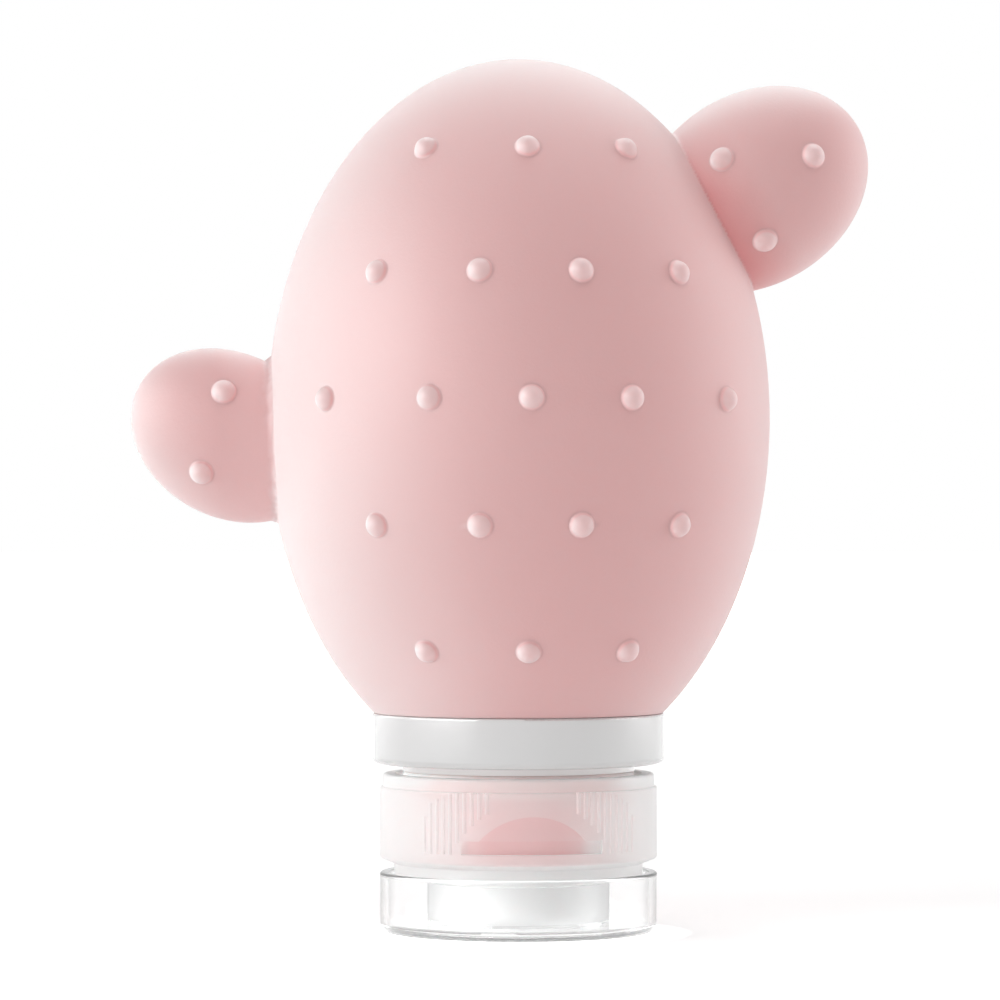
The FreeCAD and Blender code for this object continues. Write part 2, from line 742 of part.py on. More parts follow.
# Slit valve: a rim that is clamped in the boss and a thin dished skin with a cross slit
valve_body = turned_body(
    "valve_body",
    [
        ("0", "Fits.valve_bottom + Sizes.valve_dish_rise"),
        ("Sizes.outlet_diameter / 2", "Fits.valve_bottom"),
        ("Sizes.valve_diameter / 2", "Fits.valve_bottom"),
        ("Sizes.valve_diameter / 2", "Fits.valve_top"),
        ("Sizes.outlet_diameter / 2 + Sizes.valve_shoulder", "Fits.valve_top"),
        ("0", "Fits.valve_bottom + Sizes.valve_dish_rise + Sizes.valve_skin"),
    ],
)
slit_across = primitive(
    "Part::Box",
    "slit_across",
    at(-number("Sizes.slit_length / 2"), -number("Sizes.slit_width / 2"), number("Fits.valve_seat")),
    Length="Sizes.slit_length",
    Width="Sizes.slit_width",
    Height="Fits.deck_top",
)
slit_deep = primitive(
    "Part::Box",
    "slit_deep",
    at(-number("Sizes.slit_width / 2"), -number("Sizes.slit_length / 2"), number("Fits.valve_seat")),
    Length="Sizes.slit_width",
    Width="Sizes.slit_length",
    Height="Fits.deck_top",
)
drip_valve = removed("drip_valve", valve_body, joined("cross_slit", [slit_across, slit_deep]))

# Ring pressed into the boss, which holds the valve's rim down
valve_retainer = turned_body(
    "valve_retainer",
    [
        ("Sizes.valve_diameter / 2 - Sizes.retainer_wall", "Fits.retainer_bottom"),
        ("Sizes.valve_diameter / 2", "Fits.retainer_bottom"),
        ("Sizes.valve_diameter / 2", "Fits.retainer_top"),
        ("Sizes.valve_diameter / 2 - Sizes.retainer_wall", "Fits.retainer_top"),
    ],
)

# Flip lid: a shallow cup with an inner ring that stands round the outlet boss, and its hinge barrel
lid_cup = turned_body(
    "lid_cup",
    [
        ("0", "0"),
        ("Fits.cap_radius", "0"),
        ("Fits.cap_radius", "Sizes.lid_height"),
        ("Fits.lid_bore", "Sizes.lid_height"),
        ("Fits.lid_bore", "Sizes.lid_floor"),
        ("Fits.lid_ring_radius", "Sizes.lid_floor"),
        ("Fits.lid_ring_radius", "Fits.lid_ring_top"),
        ("Fits.lid_ring_bore", "Fits.lid_ring_top"),
        ("Fits.lid_ring_bore", "Sizes.lid_floor"),
        ("0", "Sizes.lid_floor"),
    ],
)
round_edges(lid_cup, "lid_corner", "Sizes.lid_corner_round", [("Fits.cap_radius", "0")])
round_edges(lid_cup, "lid_rim_edge", "Sizes.lid_rim_round", [("Fits.cap_radius", "Sizes.lid_height")])
barrel = primitive(
    "Part::Cylinder",
    "hinge_barrel",
    at(-number("Sizes.barrel_length / 2"), hinge_back, hinge_height, turned(BACKWARD, 90)),
    Radius="Sizes.barrel_diameter / 2",
    Height="Sizes.barrel_length",
)
web_bottom = hinge_height - number("Sizes.barrel_diameter / 2 + Sizes.hinge_rise")
web = primitive(
    "Part::Box",
    "hinge_web",
    at(-number("Sizes.barrel_length / 2"), number("Fits.lid_bore"), web_bottom),
    Length="Sizes.barrel_length",
    Width="Fits.hinge_back - Fits.lid_bore",
    Height="Sizes.barrel_diameter / 2 + Sizes.hinge_rise",
)
trunnions = primitive(
    "Part::Cylinder",
    "trunnions",
    at(-lug_inside - lug_width, hinge_back, hinge_height, turned(BACKWARD, 90)),
    Radius="Sizes.trunnion_diameter / 2",
    Height="2 * (Fits.lug_inside + Sizes.lug_width)",
)
flip_lid = joined("flip_lid", [lid_cup, barrel, web, trunnions])

# The cap stops a little turned from the bottle's front when it is screwed home
clocked = at(0, 0, 0, turned(UPWARD, number("Sizes.cap_clocking")))
for piece in (cap_base, drip_valve, valve_retainer, flip_lid):
    piece.Placement = clocked

doc.recompute()

PIECES = (
    silicone_bottle,
    neck_insert,
    collar_ring,
    sealing_gasket,
    cap_base,
    drip_valve,
    valve_retainer,
    flip_lid,
)
for item in doc.Objects:
    if "Invalid" in item.State or "Error" in item.State:
        raise RuntimeError(f"{item.Label} failed: {item.State}")
for piece in PIECES:
    if piece.Shape.isNull() or not piece.Shape.isValid():
        raise RuntimeError(f"{piece.Label} has no valid shape")
    if len(piece.Shape.Solids) != 1:
        raise RuntimeError(f"{piece.Label} is {len(piece.Shape.Solids)} solids")

os.makedirs("parts", exist_ok=True)
for piece in PIECES:
    piece.Shape.exportStep(f"parts/{piece.Label}.step")
    box = piece.Shape.BoundBox
    print(f"{piece.Label}: {piece.Shape.Volume:.1f} mm3, z {box.ZMin:.2f} to {box.ZMax:.2f}")
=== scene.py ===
import math

import bmesh
import bpy
import numpy as np
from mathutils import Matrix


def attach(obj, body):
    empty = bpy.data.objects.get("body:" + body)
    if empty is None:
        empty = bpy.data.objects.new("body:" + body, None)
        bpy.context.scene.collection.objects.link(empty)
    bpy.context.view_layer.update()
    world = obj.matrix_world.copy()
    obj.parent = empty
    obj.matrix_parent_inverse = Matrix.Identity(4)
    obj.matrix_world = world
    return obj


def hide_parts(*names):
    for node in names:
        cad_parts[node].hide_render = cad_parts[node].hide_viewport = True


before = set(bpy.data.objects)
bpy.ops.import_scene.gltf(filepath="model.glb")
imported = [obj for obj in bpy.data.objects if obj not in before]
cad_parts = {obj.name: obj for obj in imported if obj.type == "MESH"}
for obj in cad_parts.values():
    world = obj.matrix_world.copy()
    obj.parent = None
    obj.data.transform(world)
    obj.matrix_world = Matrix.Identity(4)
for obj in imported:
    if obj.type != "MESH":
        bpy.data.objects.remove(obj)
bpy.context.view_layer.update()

# Bottle: one soft moulding of pink silicone, cast hollow round a core that is pulled out through the neck.
# Body, arms, nubs, shoulder, neck and screw thread are all of one piece, with a fine matte skin from the mould.
# The mesh's sizes are in millimetres, and those of its finish in metres.
MILLIMETRE = 0.001
BODY_RADIUS = 28.1
BODY_HALF_HEIGHT = 40.2
BODY_MIDDLE = 57.346


def leaning_arm(outward, length, width, depth, tilt, rise, standoff):
    flank = BODY_RADIUS * math.sqrt(1 - (rise / BODY_HALF_HEIGHT) ** 2)
    middle = np.array([outward * (flank + standoff), 0.0, BODY_MIDDLE + rise])
    lean = math.radians(tilt)
    along = np.array([outward * math.cos(lean), 0.0, math.sin(lean)])
    across = np.array([-along[2], 0.0, along[0]])
    directions = np.array([along, across, [0.0, 1.0, 0.0]])
    return middle, directions, np.array([length / 2, width / 2, depth / 2])


body_radii = np.array([BODY_RADIUS, BODY_RADIUS, BODY_HALF_HEIGHT])
body_egg = (np.array([0.0, 0.0, BODY_MIDDLE]), np.eye(3), body_radii)
left_arm = leaning_arm(outward=-1, length=23.3, width=18.3, depth=12.4, tilt=27.9, rise=-1.9, standoff=4.1)
right_arm = leaning_arm(outward=1, length=27.4, width=21.4, depth=21.0, tilt=32.4, rise=25.75, standoff=4.8)

# The rows of nubs lie on the body seen square on from the front and back, so its axes are taken in that order
SQUARE_ON = np.array([[1.0, 0.0, 0.0], [0.0, 0.0, 1.0], [0.0, 1.0, 0.0]])
NUB_COLUMN_PITCH = 10.9
NUB_ROW_PITCH = 13.65
NUB_MIDDLE_RISE = 1.85
NUBS_IN_ROW = (3, 4, 5, 4, 3)
ARM_NUBS = (
    (left_arm, ((2.9, -3.9), (0.9, 5.2))),
    (right_arm, ((-2.2, 4.7), (6.6, -0.4), (-2.9, -5.5))),
)
square_egg = (body_egg[0], SQUARE_ON, body_radii[[0, 2, 1]])
nub_places = []
for side in (-1, 1):
    for row, count in enumerate(NUBS_IN_ROW):
        rise = NUB_MIDDLE_RISE + (row - len(NUBS_IN_ROW) // 2) * NUB_ROW_PITCH
        for column in range(count):
            nub_places.append((square_egg, (column - (count - 1) / 2) * NUB_COLUMN_PITCH, rise, side))
    for arm, arm_places in ARM_NUBS:
        for along, across in arm_places:
            nub_places.append((arm, along, across, side))


def nub_foot(egg, first, second, side):
    middle, directions, radii = egg
    place = np.array([first, second, 0.0])
    place[2] = side * radii[2] * math.sqrt(1 - (first / radii[0]) ** 2 - (second / radii[1]) ** 2)
    normal = place / radii ** 2
    return middle + place @ directions, normal / np.linalg.norm(normal) @ directions


def egg_gap(points, egg):
    smallest = 1e-9
    middle, directions, radii = egg
    share = ((points - middle) @ directions.T) / radii
    size = np.linalg.norm(share, axis=1)
    return size * (size - 1) / np.maximum(np.linalg.norm(share / radii, axis=1), smallest)


ARM_BLEND = 0.35


def soft_join(first, second, blend):
    lap = np.maximum(blend - np.abs(first - second), 0) / blend
    return np.minimum(first, second) - lap * lap * blend / 4


def skin_gap(points):
    gap = soft_join(egg_gap(points, body_egg), egg_gap(points, left_arm), ARM_BLEND)
    return soft_join(gap, egg_gap(points, right_arm), ARM_BLEND)


def settled_on_skin(points, rounds):
    probe = 0.002
    least_steepness = 0.05
    for _ in range(rounds):
        slope = np.empty_like(points)
        for axis in range(3):
            shift = np.zeros(3)
            shift[axis] = probe
            slope[:, axis] = (skin_gap(points + shift) - skin_gap(points - shift)) / (2 * probe)
        steepness = np.maximum((slope ** 2).sum(axis=1), least_steepness)
        points = points - slope * (skin_gap(points) / steepness)[:, None]
    return points


def turned_skin(profile, segments):
    points = []
    rings = []
    for radius, height in profile:
        if radius <= 0:
            rings.append([len(points)] * segments)
            points.append((0.0, 0.0, height))
            continue
        rings.append([len(points) + step for step in range(segments)])
        for step in range(segments):
            angle = 2 * math.pi * step / segments
            points.append((radius * math.cos(angle), radius * math.sin(angle), height))
    faces = []
    for lower, upper in zip(rings, rings[1:]):
        for step in range(segments):
            after = (step + 1) % segments
            corners = [lower[step], lower[after], upper[after], upper[step]]
            faces.append(list(dict.fromkeys(corners)))
    return points, faces


def half_ellipse(radius, half_height, middle, start, end, steps):
    at_pole = 0.0001
    profile = []
    for step in range(steps + 1):
        turn = start + (end - start) * step / steps
        across = radius * math.cos(turn) if math.cos(turn) > at_pole else 0.0
        profile.append((across, middle + half_height * math.sin(turn)))
    return profile


BALL_STEPS = 48
BALL_SEGMENTS = 96
SKIN_MESH = 0.62


def rough_form():
    ball_profile = half_ellipse(1, 1, 0, -math.pi / 2, math.pi / 2, BALL_STEPS)
    ball_points, ball_faces = turned_skin(ball_profile, BALL_SEGMENTS)
    points = []
    faces = []
    for middle, directions, radii in (body_egg, left_arm, right_arm):
        faces.extend([[len(points) + corner for corner in face] for face in ball_faces])
        points.extend((middle + (np.array(ball_points) * radii) @ directions).tolist())
    mesh = bpy.data.meshes.new("rough_form")
    mesh.from_pydata((np.array(points) * MILLIMETRE).tolist(), [], faces)
    return mesh


rough = bpy.data.objects.new("rough_form", rough_form())
bpy.context.collection.objects.link(rough)
remesh = rough.modifiers.new("even_skin", "REMESH")
remesh.mode = "VOXEL"
remesh.voxel_size = SKIN_MESH * MILLIMETRE
even_mesh = bpy.data.meshes.new_from_object(rough.evaluated_get(bpy.context.evaluated_depsgraph_get()))
bpy.data.objects.remove(rough)
bottle_form = bmesh.new()
bottle_form.from_mesh(even_mesh)


def evened(vertices, rounds):
    for _ in range(rounds):
        bmesh.ops.smooth_vert(
            bottle_form, verts=vertices, factor=0.5, use_axis_x=True, use_axis_y=True, use_axis_z=True
        )


def vertex_places():
    bottle_form.verts.ensure_lookup_table()
    return np.array([vertex.co[:] for vertex in bottle_form.verts]) / MILLIMETRE


def settle_skin():
    for vertex, place in zip(bottle_form.verts, settled_on_skin(vertex_places(), rounds=5)):
        vertex.co = place * MILLIMETRE


def crease_vertices(reach):
    places = vertex_places()
    from_body = np.abs(egg_gap(places, body_egg))
    from_arm = np.abs(egg_gap(places, right_arm))
    return {bottle_form.verts[index] for index in np.flatnonzero(np.maximum(from_body, from_arm) < reach)}


# The crease round the right arm's root is cut finer as the skin settles, so that it stays crisp
CREASE_REACH = 1.1
SHOULDER_HEIGHT = 24.5
evened(bottle_form.verts, rounds=3)
settle_skin()
for reach in (CREASE_REACH, CREASE_REACH / 2):
    crease = crease_vertices(reach)
    crease_edges = [edge for edge in bottle_form.edges if crease.issuperset(edge.verts)]
    bmesh.ops.subdivide_edges(bottle_form, edges=crease_edges, cuts=1, use_grid_fill=True)
    settle_skin()
    evened(list(crease_vertices(reach)), rounds=2)
    settle_skin()
bmesh.ops.bisect_plane(
    bottle_form,
    geom=bottle_form.verts[:] + bottle_form.edges[:] + bottle_form.faces[:],
    plane_co=(0, 0, SHOULDER_HEIGHT * MILLIMETRE),
    plane_no=(0, 0, 1),
    clear_inner=True,
)

# Each nub is a dome on a small fillet that runs out onto the skin, and the skin under it is open
NUB_RADIUS = 1.35
NUB_SINK = 0.25
NUB_FOOT_ROUND = 0.3
NUB_LAP = 0.06
NUB_TUCK = 0.01
NUB_SEGMENTS = 36
FILLET_STEPS = 6
DOME_STEPS = 9
SEATING_ROUNDS = 4
fillet_reach = NUB_RADIUS + NUB_FOOT_ROUND
fillet_rise = NUB_FOOT_ROUND + NUB_SINK
fillet_middle = math.sqrt(fillet_reach ** 2 - fillet_rise ** 2)
fillet_lift = math.asin(fillet_rise / fillet_reach)
nub_profile = []
for step in range(FILLET_STEPS + 1):
    turn = 1.5 * math.pi - (math.pi / 2 - fillet_lift) * step / FILLET_STEPS
    across = fillet_middle + NUB_FOOT_ROUND * math.cos(turn)
    nub_profile.append((across, NUB_FOOT_ROUND * (1 + math.sin(turn))))
for step in range(1, DOME_STEPS + 1):
    turn = fillet_lift + (math.pi / 2 - fillet_lift) * step / DOME_STEPS
    across = NUB_RADIUS * math.cos(turn) if step < DOME_STEPS else 0.0
    nub_profile.append((across, NUB_RADIUS * math.sin(turn) - NUB_SINK))
nub_points, nub_faces = turned_skin(nub_profile, NUB_SEGMENTS)
nub_points = np.array(nub_points)
nub_skins = []
face_middles = np.array([face.calc_center_median()[:] for face in bottle_form.faces]) / MILLIMETRE
covered = np.zeros(len(face_middles), dtype=bool)
for egg, first, second, side in nub_places:
    foot, normal = nub_foot(egg, first, second, side)
    sideways = np.cross(normal, [0.0, 0.0, 1.0])
    sideways /= np.linalg.norm(sideways)
    base = foot + nub_points[:, :1] * sideways + nub_points[:, 1:2] * np.cross(normal, sideways)
    for _ in range(SEATING_ROUNDS):
        base = base - np.outer(egg_gap(base, egg), normal)
    nub_skins.append((base + np.outer(nub_points[:, 2] - NUB_TUCK, normal), nub_faces))
    covered |= np.linalg.norm(face_middles - foot, axis=1) < fillet_middle
bottle_form.faces.ensure_lookup_table()
under_nubs = [face for face, hidden in zip(bottle_form.faces, covered) if hidden]
bmesh.ops.delete(bottle_form, geom=under_nubs, context="FACES")
opening_edge = [vertex for vertex in bottle_form.verts if vertex.is_boundary]
edge_places = np.array([vertex.co[:] for vertex in opening_edge]) / MILLIMETRE
for egg, first, second, side in nub_places:
    foot, normal = nub_foot(egg, first, second, side)
    for index in np.flatnonzero(np.linalg.norm(edge_places - foot, axis=1) < 2 * fillet_middle):
        outward = edge_places[index] - foot
        outward -= normal * (outward @ normal)
        place = foot + outward * ((fillet_middle - NUB_LAP) / np.linalg.norm(outward))
        for _ in range(SEATING_ROUNDS):
            place = place - egg_gap(place[None], egg)[0] * normal
        opening_edge[index].co = place * MILLIMETRE

# The hollow, the neck's bore and its outside are one turned skin, with the thread laid on the neck
BODY_WALL = 2.8
SHOULDER_RADIUS = 16.2
NECK_RADIUS = 12.55
NECK_BORE = 10.55
NECK_END = 9.55
LIP_BORE = 11.25
FLANGE_SEAT = 10.6
BEAD_RADIUS = 12.9
BEAD_BOTTOM = 17.4
BEAD_TOP = 18.0
GROOVE_RADIUS = 12.25
CAVITY_FLOOR = 27.1
CAVITY_STEPS = 40
EDGE_ROUND = 0.15
NECK_SEGMENTS = 144
cavity_radius = BODY_RADIUS - BODY_WALL
cavity_half = BODY_HALF_HEIGHT - BODY_WALL
floor_turn = math.asin((CAVITY_FLOOR - BODY_MIDDLE) / cavity_half)
cavity_profile = half_ellipse(cavity_radius, cavity_half, BODY_MIDDLE, math.pi / 2, floor_turn, CAVITY_STEPS)
neck_profile = cavity_profile + [
    (NECK_BORE + EDGE_ROUND, CAVITY_FLOOR),
    (NECK_BORE, CAVITY_FLOOR - EDGE_ROUND),
    (NECK_BORE, FLANGE_SEAT),
    (LIP_BORE, FLANGE_SEAT),
    (LIP_BORE, NECK_END + EDGE_ROUND),
    (LIP_BORE + EDGE_ROUND, NECK_END),
    (NECK_RADIUS - EDGE_ROUND, NECK_END),
    (NECK_RADIUS, NECK_END + EDGE_ROUND),
    (NECK_RADIUS, BEAD_BOTTOM),
    (BEAD_RADIUS - EDGE_ROUND, BEAD_BOTTOM),
    (BEAD_RADIUS, BEAD_BOTTOM + EDGE_ROUND),
    (BEAD_RADIUS, BEAD_TOP - EDGE_ROUND),
    (BEAD_RADIUS - EDGE_ROUND, BEAD_TOP),
    (GROOVE_RADIUS, BEAD_TOP),
    (GROOVE_RADIUS, SHOULDER_HEIGHT),
    (SHOULDER_RADIUS, SHOULDER_HEIGHT),
]
THREAD_PITCH = 3.0
THREAD_START = 11.45
THREAD_TURNS = 1.75
THREAD_DEPTH = 0.95
THREAD_ROOT = 1.3
THREAD_CREST = 0.7
THREAD_TUCK = 0.1
THREAD_STEPS = 200
THREAD_RUN_OUT = 0.05


def thread_skin():
    root = NECK_RADIUS - THREAD_TUCK
    points = []
    faces = []
    for step in range(THREAD_STEPS + 1):
        turn = THREAD_TURNS * step / THREAD_STEPS
        ease = min(turn, THREAD_TURNS - turn, THREAD_RUN_OUT) / THREAD_RUN_OUT
        crest = root + (THREAD_DEPTH + THREAD_TUCK) * ease
        angle = 2 * math.pi * turn
        height = THREAD_START + THREAD_PITCH * turn
        section = (
            (root, height - THREAD_ROOT / 2),
            (crest, height - THREAD_CREST / 2),
            (crest, height + THREAD_CREST / 2),
            (root, height + THREAD_ROOT / 2),
        )
        points.extend([(radius * math.cos(angle), radius * math.sin(angle), z) for radius, z in section])
    for step in range(THREAD_STEPS):
        for corner in range(len(section) - 1):
            here = len(section) * step + corner
            after = here + len(section)
            faces.append([here, after, after + 1, here + 1])
    return points, faces


# The arms' roots, the nubs and their feet are marked on the skin, so that the finish can paint light and shade
# on them
ROOT_REACH = 6.0
ROOT_SOFTNESS = 0.9
ROOT_TOP = 90.0
ROOT_FADE = 8.0
NUB_PALE_RISE = 0.3
NUB_FOOT_RISE = 0.22
SHARP_CORNER = math.radians(35)
left_root_painted_light = bottle_form.verts.layers.float.new("left_root_painted_light")
right_root_painted_shade = bottle_form.verts.layers.float.new("right_root_painted_shade")
skin_places = vertex_places()
from_body = egg_gap(skin_places, body_egg)
root_depth = np.clip(1 - from_body / ROOT_REACH, 0, 1)
left_depth = root_depth * (egg_gap(skin_places, left_arm) < from_body)
left_depth *= np.clip(from_body / ROOT_SOFTNESS, 0, 1)
right_depth = root_depth * (egg_gap(skin_places, right_arm) < from_body)
right_depth *= np.clip((ROOT_TOP - skin_places[:, 2]) / ROOT_FADE, 0, 1)
for vertex, left, right in zip(bottle_form.verts, left_depth, right_depth):
    vertex[left_root_painted_light] = left
    vertex[right_root_painted_shade] = right
nub_painted_light = bottle_form.verts.layers.float.new("nub_painted_light")
nub_foot_painted_light = bottle_form.verts.layers.float.new("nub_foot_painted_light")
for new_points, new_faces in nub_skins + [turned_skin(neck_profile, NECK_SEGMENTS), thread_skin()]:
    corners = [bottle_form.verts.new([value * MILLIMETRE for value in point]) for point in new_points]
    if new_faces is nub_faces:
        for corner, rise in zip(corners, nub_points[:, 2]):
            corner[nub_painted_light] = min(rise / NUB_PALE_RISE, 1.0)
            corner[nub_foot_painted_light] = max(1.0 - abs(rise - NUB_FOOT_RISE) / NUB_FOOT_RISE, 0.0)
    panels = [bottle_form.faces.new([corners[corner] for corner in face]) for face in new_faces]
    for edge in {edge for panel in panels for edge in panel.edges}:
        edge.smooth = edge.calc_face_angle(0) < SHARP_CORNER
for face in bottle_form.faces:
    face.smooth = True
bottle_mesh = bpy.data.meshes.new("silicone_moulding")
bottle_form.to_mesh(bottle_mesh)
bottle_form.free()
bottle = bpy.data.objects.new("silicone_moulding", bottle_mesh)
bpy.context.collection.objects.link(bottle)


def moulded_grain_group():
    group = bpy.data.node_groups.new("moulded_grain", "ShaderNodeTree")
    group.interface.new_socket("Place", in_out="INPUT", socket_type="NodeSocketVector")
    group.interface.new_socket("Mottle Scale", in_out="INPUT", socket_type="NodeSocketFloat")
    group.interface.new_socket("Grain Scale", in_out="INPUT", socket_type="NodeSocketFloat")
    group.interface.new_socket("Mottle", in_out="OUTPUT", socket_type="NodeSocketFloat")
    group.interface.new_socket("Grain", in_out="OUTPUT", socket_type="NodeSocketFloat")
    given = group.nodes.new("NodeGroupInput")
    result = group.nodes.new("NodeGroupOutput")
    for scale_name, output_name, detail in (("Mottle Scale", "Mottle", 3.0), ("Grain Scale", "Grain", 2.0)):
        noise = group.nodes.new("ShaderNodeTexNoise")
        noise.inputs["Detail"].default_value = detail
        group.links.new(given.outputs["Place"], noise.inputs["Vector"])
        group.links.new(given.outputs[scale_name], noise.inputs["Scale"])
        group.links.new(noise.outputs["Fac"], result.inputs[output_name])
    return group


def turned_zone_group():
    group = bpy.data.node_groups.new("turned_zone", "ShaderNodeTree")
    group.interface.new_socket("Place", in_out="INPUT", socket_type="NodeSocketVector")
    for name in ("Full Radius", "Zero Radius", "Low Height", "High Height", "Height Fade"):
        group.interface.new_socket(name, in_out="INPUT", socket_type="NodeSocketFloat")
    group.interface.new_socket("Mask", in_out="OUTPUT", socket_type="NodeSocketFloat")
    given = group.nodes.new("NodeGroupInput")
    result = group.nodes.new("NodeGroupOutput")

    def math_node(operation, first, second):
        node = group.nodes.new("ShaderNodeMath")
        node.operation = operation
        group.links.new(first, node.inputs[0])
        group.links.new(second, node.inputs[1])
        return node.outputs["Value"]

    def ramp(value, zero, full):
        node = group.nodes.new("ShaderNodeMapRange")
        group.links.new(value, node.inputs["Value"])
        group.links.new(zero, node.inputs["From Min"])
        group.links.new(full, node.inputs["From Max"])
        return node.outputs["Result"]

    parts = group.nodes.new("ShaderNodeSeparateXYZ")
    group.links.new(given.outputs["Place"], parts.inputs["Vector"])
    flat = group.nodes.new("ShaderNodeCombineXYZ")
    group.links.new(parts.outputs["X"], flat.inputs["X"])
    group.links.new(parts.outputs["Y"], flat.inputs["Y"])
    distance = group.nodes.new("ShaderNodeVectorMath")
    distance.operation = "LENGTH"
    group.links.new(flat.outputs["Vector"], distance.inputs[0])
    inside = ramp(distance.outputs["Value"], given.outputs["Zero Radius"], given.outputs["Full Radius"])
    low_full = math_node("ADD", given.outputs["Low Height"], given.outputs["Height Fade"])
    high_full = math_node("SUBTRACT", given.outputs["High Height"], given.outputs["Height Fade"])
    above = ramp(parts.outputs["Z"], given.outputs["Low Height"], low_full)
    below = ramp(parts.outputs["Z"], given.outputs["High Height"], high_full)
    between = math_node("MULTIPLY", above, below)
    group.links.new(math_node("MULTIPLY", inside, between), result.inputs["Mask"])
    return group


moulded_grain = moulded_grain_group()
turned_zone = turned_zone_group()


class Finish:
    """A material with the moulded grain placed in it, whose colour and roughness drift a little."""

    def __init__(self, name, colours, roughness, mottle_scale, grain_scale, grain_height):
        self.material = bpy.data.materials.new(name)
        self.material.use_nodes = True
        self.nodes = self.material.node_tree.nodes
        self.links = self.material.node_tree.links
        self.shader = self.nodes["Principled BSDF"]
        self.place = self.nodes.new("ShaderNodeTexCoord").outputs["Object"]
        grain = self.nodes.new("ShaderNodeGroup")
        grain.node_tree = moulded_grain
        grain.inputs["Mottle Scale"].default_value = mottle_scale
        grain.inputs["Grain Scale"].default_value = grain_scale
        self.links.new(self.place, grain.inputs["Place"])
        tint = self.nodes.new("ShaderNodeMix")
        tint.data_type = "RGBA"
        tint.inputs["A"].default_value = (*colours[0], 1)
        tint.inputs["B"].default_value = (*colours[1], 1)
        self.links.new(grain.outputs["Mottle"], tint.inputs["Factor"])
        self.links.new(tint.outputs["Result"], self.shader.inputs["Base Color"])
        drift = self.nodes.new("ShaderNodeMapRange")
        drift.inputs["To Min"].default_value = roughness[0]
        drift.inputs["To Max"].default_value = roughness[1]
        self.links.new(grain.outputs["Mottle"], drift.inputs["Value"])
        self.links.new(drift.outputs["Result"], self.shader.inputs["Roughness"])
        bump = self.nodes.new("ShaderNodeBump")
        bump.inputs["Strength"].default_value = 1.0
        bump.inputs["Distance"].default_value = grain_height
        self.links.new(grain.outputs["Grain"], bump.inputs["Height"])
        self.links.new(bump.outputs["Normal"], self.shader.inputs["Normal"])

    def set(self, **values):
        for socket, value in values.items():
            self.shader.inputs[socket.replace("_", " ")].default_value = value

    def let_light_through(self):
        solid = self.nodes.new("ShaderNodeMapRange")
        solid.inputs["To Min"].default_value = 1.0
        solid.inputs["To Max"].default_value = 0.0
        self.links.new(self.nodes.new("ShaderNodeLightPath").outputs["Is Shadow Ray"], solid.inputs["Value"])
        self.links.new(solid.outputs["Result"], self.shader.inputs["Alpha"])

    def zone(self, full_radius, zero_radius, low, high, fade):
        zone = self.nodes.new("ShaderNodeGroup")
        zone.node_tree = turned_zone
        self.links.new(self.place, zone.inputs["Place"])
        zone.inputs["Full Radius"].default_value = full_radius
        zone.inputs["Zero Radius"].default_value = zero_radius
        zone.inputs["Low Height"].default_value = low
        zone.inputs["High Height"].default_value = high
        zone.inputs["Height Fade"].default_value = fade
        return zone.outputs["Mask"]

    def middle(self, full, zero):
        sides = self.nodes.new("ShaderNodeSeparateXYZ")
        self.links.new(self.place, sides.inputs["Vector"])
        offset = self.nodes.new("ShaderNodeMath")
        offset.operation = "ABSOLUTE"
        self.links.new(sides.outputs["X"], offset.inputs[0])
        fade = self.nodes.new("ShaderNodeMapRange")
        fade.inputs["From Min"].default_value = zero
        fade.inputs["From Max"].default_value = full
        self.links.new(offset.outputs["Value"], fade.inputs["Value"])
        return fade.outputs["Result"]

    def edge_on(self, start, end):
        slant = self.nodes.new("ShaderNodeMapRange")
        slant.inputs["From Min"].default_value = start
        slant.inputs["From Max"].default_value = end
        self.links.new(self.nodes.new("ShaderNodeLayerWeight").outputs["Facing"], slant.inputs["Value"])
        return slant.outputs["Result"]

    def painted(self, name):
        paint = self.nodes.new("ShaderNodeAttribute")
        paint.attribute_name = name
        return paint.outputs["Fac"]

    def both(self, first, second):
        product = self.nodes.new("ShaderNodeMath")
        product.operation = "MULTIPLY"
        self.links.new(first, product.inputs[0])
        self.links.new(second, product.inputs[1])
        return product.outputs["Value"]

    def tint(self, mask, colour):
        tint = self.nodes.new("ShaderNodeMix")
        tint.data_type = "RGBA"
        self.links.new(mask, tint.inputs["Factor"])
        self.links.new(self.shader.inputs["Base Color"].links[0].from_socket, tint.inputs["A"])
        tint.inputs["B"].default_value = (*colour, 1)
        self.links.new(tint.outputs["Result"], self.shader.inputs["Base Color"])

    def roughen(self, mask, roughness):
        haze = self.nodes.new("ShaderNodeMix")
        self.links.new(mask, haze.inputs["Factor"])
        self.links.new(self.shader.inputs["Roughness"].links[0].from_socket, haze.inputs["A"])
        haze.inputs["B"].default_value = roughness
        self.links.new(haze.outputs["Result"], self.shader.inputs["Roughness"])


pink_silicone = Finish(
    "pink_silicone",
    colours=((0.75, 0.425, 0.42), (0.735, 0.41, 0.405)),
    roughness=(0.54, 0.62),
    mottle_scale=45,
    grain_scale=2600,
    grain_height=0.000015,
)
pink_silicone.set(Subsurface_Weight=0.4, Subsurface_Radius=(1.0, 0.55, 0.5), Subsurface_Scale=0.0008)
pink_silicone.set(Sheen_Weight=0.4, Sheen_Roughness=0.5, Specular_IOR_Level=0.9)
# Painted light: the neck is paler where it shows in the gap under the collar and through the cap, lifting its
# shade
neck_painted_light = pink_silicone.zone(full_radius=0.018, zero_radius=0.019, low=0.008, high=0.0192, fade=0.0004)
pink_silicone.tint(neck_painted_light, colour=(0.95, 0.80, 0.79))
# Painted light: the left arm's root beside the body is paler, lifting the shade in its crease
pink_silicone.tint(pink_silicone.painted("left_root_painted_light"), colour=(0.83, 0.55, 0.545))
